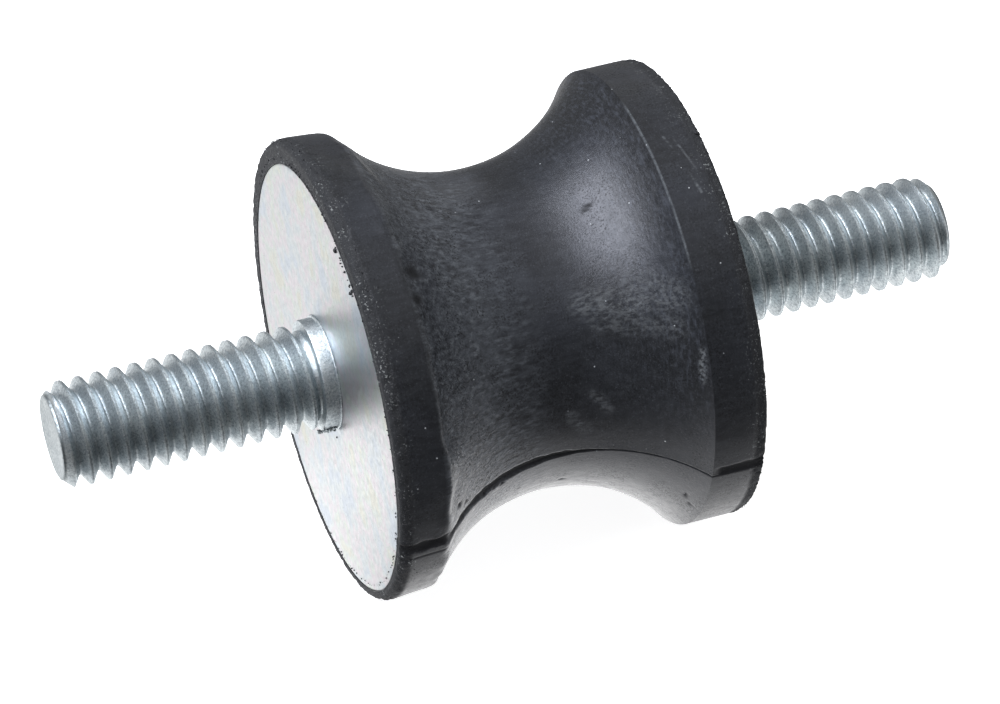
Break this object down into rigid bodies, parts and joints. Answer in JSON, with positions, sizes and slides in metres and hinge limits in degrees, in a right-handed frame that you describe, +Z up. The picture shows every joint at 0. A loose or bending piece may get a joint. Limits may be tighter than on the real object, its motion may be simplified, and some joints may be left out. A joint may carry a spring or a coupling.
{
  "type": "bobbin vibration mount",
  "caption": "Waisted rubber anti-vibration mount with a steel end plate and a threaded male stud at each end.",
  "frame": {"origin": "centre of the rubber body, on the axis that the two studs share", "axes": "+X along the axis through both studs, +Z up as the mount lies on its side"},
  "size_m": [0.0696, 0.0348, 0.0348],
  "materials": {
    "black_rubber": "matt moulded natural rubber",
    "zinc_plate": "satin zinc plating, clear passivated",
    "zinc_stud": "bright zinc plating over rolled thread"
  },
  "bodies": {
    "root": {"rubber_body": "black_rubber", "left_plate": "zinc_plate", "right_plate": "zinc_plate", "left_stud": "zinc_stud", "right_stud": "zinc_stud"}
  },
  "joints": []
}
